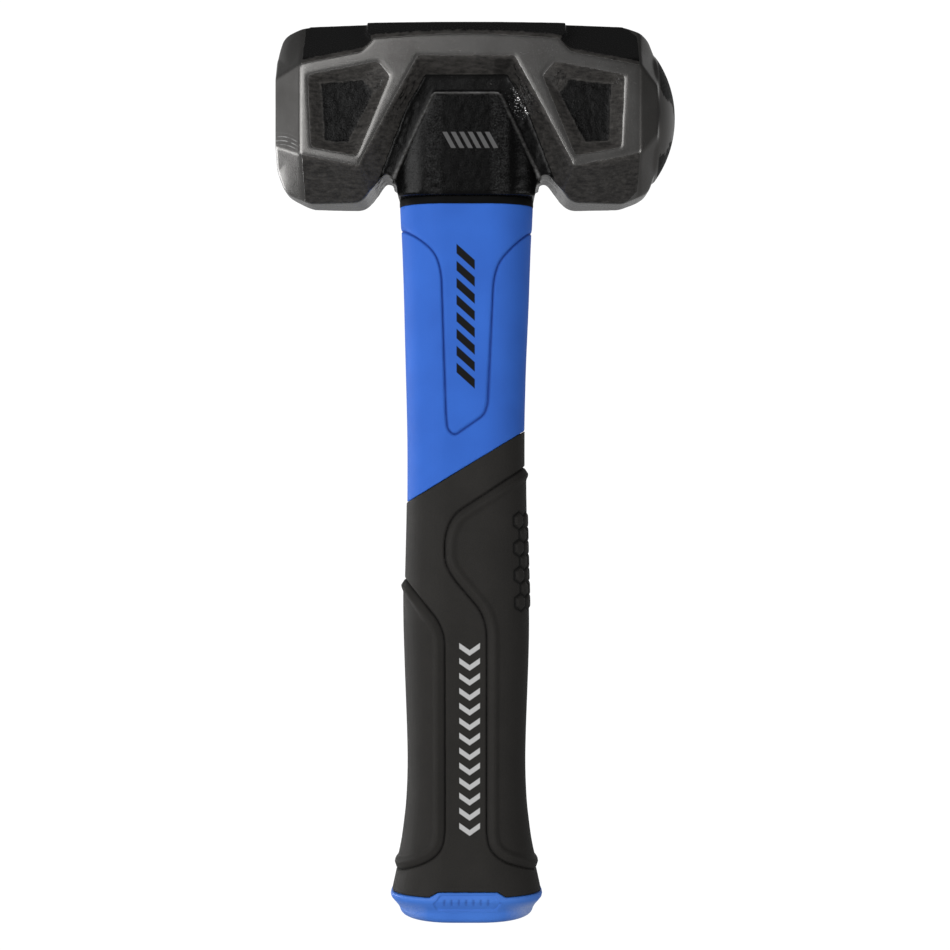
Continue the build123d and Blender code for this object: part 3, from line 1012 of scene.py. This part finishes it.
gripSettings = {
    "voxel": 0.3,
    "smoothing": 4,
    "mostTriangles": 195000,
    "smoothAngle": 60,
    "tailSpace": 2.8,
    "tabGap": 0.12,
    # the two raised side panels, in length and height
    "panels": [
        [
            (30, 140.2), (17, 131.6), (-3.6, 118.2), (-6.1, 112.2), (-6.1, 104.2), (-3.7, 99.8),
            (4.4, 90.2), (6, 85), (5.9, 26), (6.5, 22.4), (8.4, 19.7), (11.5, 17.6), (15.6, 16.2),
            (19.8, 14.5), (30, 12),
        ],
        [
            (-30, 112.6), (-17.6, 98.9), (-8.2, 87.6), (-6.3, 83), (-6.2, 26), (-6.8, 22.4), (-8.5, 19.8),
            (-11.6, 17.7), (-15.7, 15.9), (-19.9, 14.4), (-30, 12),
        ],
    ],
    "panelCorner": 4.0,
    "panelRise": 1.04,
    "chamfer": (0.15, 1.65),
    "panelSettle": 0.58,
    "settleEdge": (2.1, 4.0),
    "creaseDepth": 0.55,
    "creaseHalfWidth": 0.25,
    "creaseOffset": 0.05,
    "creaseShade": 0.28,
    # honeycomb round the +X side
    "cellAcross": 4.6,
    "cellTop": 116.3,
    "cellRowStep": 3.95,
    "cellCounts": (5, 4, 5, 4, 5, 4, 5),
    "cellSlope": 0.872,
    "cellRise": 0.42,
    "cellEdge": (-0.1, 1.2),
    "cellGroove": 0.36,
    "cellGrooveHalfWidth": 0.34,
    "cellZone": (84, 122),
    "sideCentre": 5.3,
    "sideRadius": 12.9,
    "shades": (colour(37, 36, 34), colour(50, 48, 46)),
    # painted shade in the creases and cell grooves
    "creaseShadeGrey": grey(0.004),
    # the column of plain chevrons
    "chevronMiddle": 0.95,
    "chevronSlope": 0.7,
    "chevrons": {"low": 25.3, "step": 4.33, "count": 12.45, "share": 0.42, "left": -2.1, "right": 4.0},
    "ink": colour(208, 208, 208),
}


def honeycomb(points):
    # crowned cells with grooves between them, found only near the +X side
    settings = gripSettings
    across = settings["cellAcross"]
    around = settings["sideRadius"] * np.arctan2(points[:, 1], points[:, 0] - settings["sideCentre"])
    up = points[:, 2]
    groove = np.zeros(len(points))
    crown = np.zeros(len(points))
    near = (points[:, 0] > 8) & (np.abs(around) < 15) & between(up, *settings["cellZone"])
    for row, count in enumerate(settings["cellCounts"]):
        for column in range(count):
            dx = np.abs(around[near] - (column - (count - 1) / 2) * across)
            dz = np.abs(up[near] - (settings["cellTop"] - row * settings["cellRowStep"]))
            edge = across / 2 - np.maximum(dx, dx * 0.5 + dz * settings["cellSlope"])
            groove[near] = np.maximum(groove[near], hump(edge, settings["cellGrooveHalfWidth"]))
            crown[near] = np.maximum(crown[near], ramp(edge, *settings["cellEdge"]))
    return groove, crown


def panelShape(distance):
    # a fine crease, a straight chamfer up to the rim, then a shallow fall to the inner field
    settings = gripSettings
    start, run = settings["chamfer"]
    rise = settings["panelRise"] * np.clip((distance - start) / run, 0, 1)
    fall = settings["panelSettle"] * ramp(distance, *settings["settleEdge"])
    crease = hump(distance + settings["creaseOffset"], settings["creaseHalfWidth"])
    return rise - fall - settings["creaseDepth"] * crease


def panelDistances(points, normals):
    outlines = [roundCorners(panel, gripSettings["panelCorner"]) for panel in gripSettings["panels"]]
    return [signedDistance(points, normals, outline) for outline in outlines]


tabSettings = {
    "low": 6.6,
    "top": 9.4,
    "middle": 0.4,
    "width": 26.0,
    "topShare": 0.655,
    # height, half width and half depth of the ring that the tongues are cut from
    "outer": [(6.4, 22.0, 18.2), (8.0, 21.95, 18.15), (9.6, 21.6, 17.8)],
    "inner": [(6.0, 19.9, 16.2), (10.0, 19.6, 15.9)],
}


def tabPrism(margin):
    # the cap's tongues, as one block that runs through the handle from front to back
    settings = tabSettings
    low, top = settings["low"], settings["top"] + margin
    middle = settings["middle"] * mm
    deselectAll()
    bpy.ops.mesh.primitive_cube_add(size=1, location=(middle, 0, (low + top) / 2 * mm))
    prism = bpy.context.object
    bpy.ops.object.mode_set(mode="EDIT")
    bpy.ops.transform.resize(value=((settings["width"] + 2 * margin) * mm, 60 * mm, (top - low) * mm))
    bpy.ops.mesh.select_all(action="DESELECT")
    mesh = bmesh.from_edit_mesh(prism.data)
    for face in mesh.faces:
        face.select = face.normal.z > 0.9
    bmesh.update_edit_mesh(prism.data)
    bpy.ops.transform.resize(value=(settings["topShare"], 1, 1), center_override=(middle, 0, 0))
    bpy.ops.object.mode_set(mode="OBJECT")
    bpy.ops.object.transform_apply(location=True, rotation=True, scale=True)
    return prism


def tabRing(margin):
    ring = ovalSolid("tabRing", grown(tabSettings["outer"], margin))
    combine(ring, ovalSolid("tabInside", grown(tabSettings["inner"], -margin)))
    combine(ring, tabPrism(margin), "INTERSECT")
    return ring


def makeGrip():
    settings = gripSettings
    stations = smoothStations(handleSettings["gripStations"], handleSettings["stationStep"])
    shell = ovalSolid("softGrip", stations)
    point, normal = seamPlane()
    bisectPiece(shell, point, normal)
    combine(shell, makeTail("tailSpace", settings["tailSpace"]))
    combine(shell, tabRing(settings["tabGap"]))
    denseMesh(shell, settings["voxel"], settings["smoothing"])

    points, normals = readPoints(shell), readNormals(shell)
    radial = normals[:, 0] * points[:, 0] + normals[:, 1] * points[:, 1] > 0
    outer = (np.abs(normals[:, 2]) < 0.75) & radial
    groove, crown = honeycomb(points)
    move = sum(panelShape(distance) for distance in panelDistances(points, normals))
    move += crown * settings["cellRise"] - groove * settings["cellGroove"]
    points += normals * (move * outer)[:, None]
    points[:, 0] += settledAcross(points) * outer
    writePoints(shell, points)
    thinOut(shell, settings["mostTriangles"])

    points, normals = readPoints(shell), readNormals(shell)
    # painted shade in the panel creases and the honeycomb grooves
    paintedShade = honeycomb(points)[0]
    for distance in panelDistances(points, normals):
        paintedShade = np.maximum(paintedShade, hump(distance + settings["creaseOffset"], settings["creaseShade"]))
    writeAttribute(shell, "crease", paintedShade)
    return shell


def gripRubber():
    settings = gripSettings
    finish = Finish("gripRubber")
    cloud = finish.noise(10.0, 3, 0.55)
    grain = finish.noise(0.3, 2, 0.7)
    base = finish.blend((cloud * 0.4 + grain * 0.6).within(0.25, 0.75), *settings["shades"])
    # painted shade in the creases
    base = finish.blend(finish.attribute("crease") * 0.9, base, settings["creaseShadeGrey"])
    bend = (finish.x - settings["chevronMiddle"]).math("ABSOLUTE") * settings["chevronSlope"]
    base = finish.blend(frontBars(finish, finish.z - bend, settings["chevrons"]), base, settings["ink"])
    return finish.surface(
        Base_Color=base, Roughness=grain * 0.2 + 0.58, Normal=finish.bump(grain, 0.06),
        Specular_IOR_Level=0.2,
    )


def buildGrip():
    finishPiece(makeGrip(), "grip", gripRubber(), gripSettings["smoothAngle"])
    print("grip done")


capSettings = {
    "voxel": 0.3,
    "smoothing": 3,
    "mostTriangles": 150000,
    "smoothAngle": 60,
    # height, half width and half depth, up the foot and out to the flange
    "stations": [
        (0.0, 14.8, 13.2), (0.15, 15.9, 13.9), (0.5, 17.1, 14.6), (1.1, 18.3, 15.2), (1.9, 19.1, 15.5),
        (2.6, 19.4, 15.65), (3.3, 19.6, 15.8), (4.2, 20.2, 16.35), (5.4, 21.25, 17.35), (6.4, 22.0, 18.05),
        (7.2, 22.2, 18.25), (7.9, 21.95, 18.05),
    ],
    "corner": 0.81,
    "socket": [(4.0, 18.8, 15.0), (9.0, 18.8, 15.0)],
    # the sunk plate on the front, in length and height, and its upright grooves
    "plate": [(-8.4, 3.9), (8.6, 3.9), (10.2, 6.0), (8.6, 8.9), (-7.4, 8.9), (-9.6, 6.0)],
    "plateDepth": 0.36,
    "plateEdge": (-0.1, 0.3),
    "frontDepth": -10,
    "grooves": (-6.3, -4.2, -2.1, 0.0, 2.1, 4.2, 6.3),
    "grooveMiddle": 6.5,
    "grooveHalfHeight": 1.15,
    "grooveHalfWidth": 0.3,
    "grooveDepth": 0.24,
    # how dark the painted shade along the plate's edge and in the grooves is drawn
    "plateEdgeShade": 0.22,
    "plateGrooveShade": 0.55,
    "shades": (colour(66, 126, 228), colour(76, 138, 240)),
    "grooveShade": colour(24, 44, 118),
    "sheen": 0.45,
    # pale scuffs with painted sheen on the two ends of the foot
    "scuffSheenStart": 11.0,
    "scuffSheenTop": 6.2,
    "scuffSheenShare": 0.75,
    # pale scuffs with painted sheen
    "scuffSheenShade": colour(196, 212, 250),
}


def plateGrooves(points):
    settings = capSettings
    x, z = points[:, 0], points[:, 2]
    inside = ramp(settings["grooveHalfHeight"] - np.abs(z - settings["grooveMiddle"]), 0, 0.4)
    lines = [hump(x - place, settings["grooveHalfWidth"]) * inside for place in settings["grooves"]]
    return np.max(lines, axis=0)


def makeCap():
    settings = capSettings
    cap = ovalSolid("buttCap", settings["stations"], settings["corner"])
    combine(cap, ovalSolid("socket", settings["socket"]))
    combine(cap, tabRing(0.0), "UNION")
    denseMesh(cap, settings["voxel"], settings["smoothing"])

    points, normals = readPoints(cap), readNormals(cap)
    front = points[:, 1] < settings["frontDepth"]
    distance = signedDistance(points, normals, settings["plate"])
    sunk = ramp(distance, *settings["plateEdge"]) * settings["plateDepth"]
    points += normals * (-(plateGrooves(points) * settings["grooveDepth"] + sunk) * front)[:, None]
    writePoints(cap, points)
    thinOut(cap, settings["mostTriangles"])

    points = readPoints(cap)
    front = points[:, 1] < settings["frontDepth"]
    distance = signedDistance(points, readNormals(cap), settings["plate"])
    # painted shade along the plate's edge and in its grooves
    edge = hump(distance - 0.1, 0.25) * settings["plateEdgeShade"]
    grooves = plateGrooves(points) * settings["plateGrooveShade"]
    writeAttribute(cap, "track", np.maximum(edge, grooves) * front)
    return cap


def capScuffsAndSheen(finish, cloud):
    settings = capSettings
    # pale scuffs with painted sheen at both ends of the foot
    scuffSheen = (finish.x.math("ABSOLUTE") - settings["scuffSheenStart"]).within(0, 6.0)
    scuffSheen = scuffSheen * (settings["scuffSheenTop"] - finish.z).within(0, 2.0)
    scuffSheen = scuffSheen * (finish.noise(0.4, 3, 0.7) * 0.6 + cloud * 0.4).within(0.36, 0.66)
    return scuffSheen * settings["scuffSheenShare"], settings["scuffSheenShade"]


def buildCap():
    material = mouldedBlue("mouldedCap", capSettings, capScuffsAndSheen)
    finishPiece(makeCap(), "butt_cap", material, capSettings["smoothAngle"])
    print("cap done")


stageSettings = {
    "floorSize": 12,
    "floorHeight": -0.0002,
    "floorGlow": 0.32,
    "whiteLevel": 1.05,
    # the room's glow: at the horizon, at a height, and the pale backdrop behind the object
    "roomLow": 0.10,
    "roomHigh": 0.07,
    "roomTop": 0.6,
    "backdrop": 0.65,
    "backdropAcross": (0.35, 0.85),
    "backdropHeights": (0.55, 0.20),
    "lens": 96.5,
    "sensor": 36,
    "cameraPlace": (0.0025, -0.75, 0.1296),
    # place, aim, width, height and power of each soft light
    "lights": {
        "leftKey": ((-0.74, -0.78, 0.14), (0, 0, 0.12), 0.7, 0.6, 7.4),
        "headSheen": ((-0.268, -0.78, 0.42), (-0.02, 0, 0.234), 0.38, 0.30, 1.28),
        "leftSide": ((-0.9, 0.12, 0.24), (0, 0, 0.2), 0.5, 0.5, 0.5),
        "lowLeft": ((-0.60, 0.34, 0.03), (-0.05, 0, 0.21), 0.45, 0.3, 3.1),
        "rightFill": ((0.72, -0.66, 0.11), (0, 0, 0.09), 0.4, 0.2, 1.9),
    },
}


def softLight(name, place, aim, width, height, power):
    light = bpy.data.lights.new(name, "AREA")
    light.shape = "RECTANGLE"
    light.size = width
    light.size_y = height
    light.energy = power
    holder = bpy.data.objects.new(name, light)
    bpy.context.scene.collection.objects.link(holder)
    holder.location = place
    holder.rotation_euler = (Vector(aim) - Vector(place)).to_track_quat("-Z", "Y").to_euler()


def glowing(nodes, kind, strength):
    return nodes.node(kind, inputs={"Color": grey(1.0), "Strength": strength})


def whiteForCamera(nodes, dim, white):
    # full white where the camera looks, and a dimmer level where the object is lit or mirrors it
    looking = nodes.node("ShaderNodeLightPath", output="Is Camera Ray")
    return nodes.node("ShaderNodeMixShader", inputs={0: looking, 1: dim, 2: white})


def buildFloor():
    settings = stageSettings
    deselectAll()
    place = (0, 0, settings["floorHeight"])
    bpy.ops.mesh.primitive_plane_add(size=settings["floorSize"], location=place)
    floor = bpy.context.object
    floor.name = "floor"
    bpy.ops.object.transform_apply(location=True)
    material = bpy.data.materials.new("paleFloor")
    nodes = Nodes(material)
    dim = glowing(nodes, "ShaderNodeEmission", settings["floorGlow"])
    white = glowing(nodes, "ShaderNodeEmission", settings["whiteLevel"])
    nodes.endWith("ShaderNodeOutputMaterial", whiteForCamera(nodes, dim, white))
    floor.data.materials.append(material)


def roomGlow(nodes):
    # dim all round, with a pale sweep low down behind the object
    settings = stageSettings
    across, back, up = nodes.split(nodes.node("ShaderNodeTexCoord", output="Generated"))
    stops = [(0.0, grey(settings["roomLow"])), (settings["roomTop"], grey(settings["roomHigh"]))]
    room = nodes.node("ShaderNodeValToRGB", {"stops": stops}, {0: up})
    high, low = settings["backdropHeights"]
    level = nodes.node("ShaderNodeMapRange", inputs={
        "Value": up, "From Min": high, "From Max": low, "To Max": settings["backdrop"],
    })
    start, full = settings["backdropAcross"]
    sweep = nodes.node("ShaderNodeMapRange", {"interpolation_type": "SMOOTHSTEP"}, {
        "Value": back, "From Min": start, "From Max": full, "To Max": level,
    })
    adding = {"data_type": "RGBA", "blend_type": "ADD"}
    return nodes.node("ShaderNodeMix", adding, {0: 1.0, 6: room, 7: sweep}, 2)


def buildWorld():
    world = bpy.data.worlds.new("studio")
    bpy.context.scene.world = world
    nodes = Nodes(world)
    dim = nodes.node("ShaderNodeBackground", inputs={"Color": roomGlow(nodes)})
    white = glowing(nodes, "ShaderNodeBackground", stageSettings["whiteLevel"])
    nodes.endWith("ShaderNodeOutputWorld", whiteForCamera(nodes, dim, white))


def buildCamera():
    settings = stageSettings
    camera = bpy.data.cameras.new("camera")
    camera.lens = settings["lens"]
    camera.sensor_width = settings["sensor"]
    camera.clip_start = 0.01
    holder = bpy.data.objects.new("camera", camera)
    bpy.context.scene.collection.objects.link(holder)
    holder.location = settings["cameraPlace"]
    holder.rotation_euler = (math.radians(90), 0, 0)
    bpy.context.scene.camera = holder
    bpy.context.scene.view_settings.view_transform = "Standard"
    bpy.context.scene.view_settings.look = "None"


def buildStage():
    buildFloor()
    buildWorld()
    for name, settings in stageSettings["lights"].items():
        softLight(name, *settings)
    buildCamera()
    print("stage done")


buildStage()
buildHead()
buildCore()
buildSleeve()
buildGrip()
buildCap()
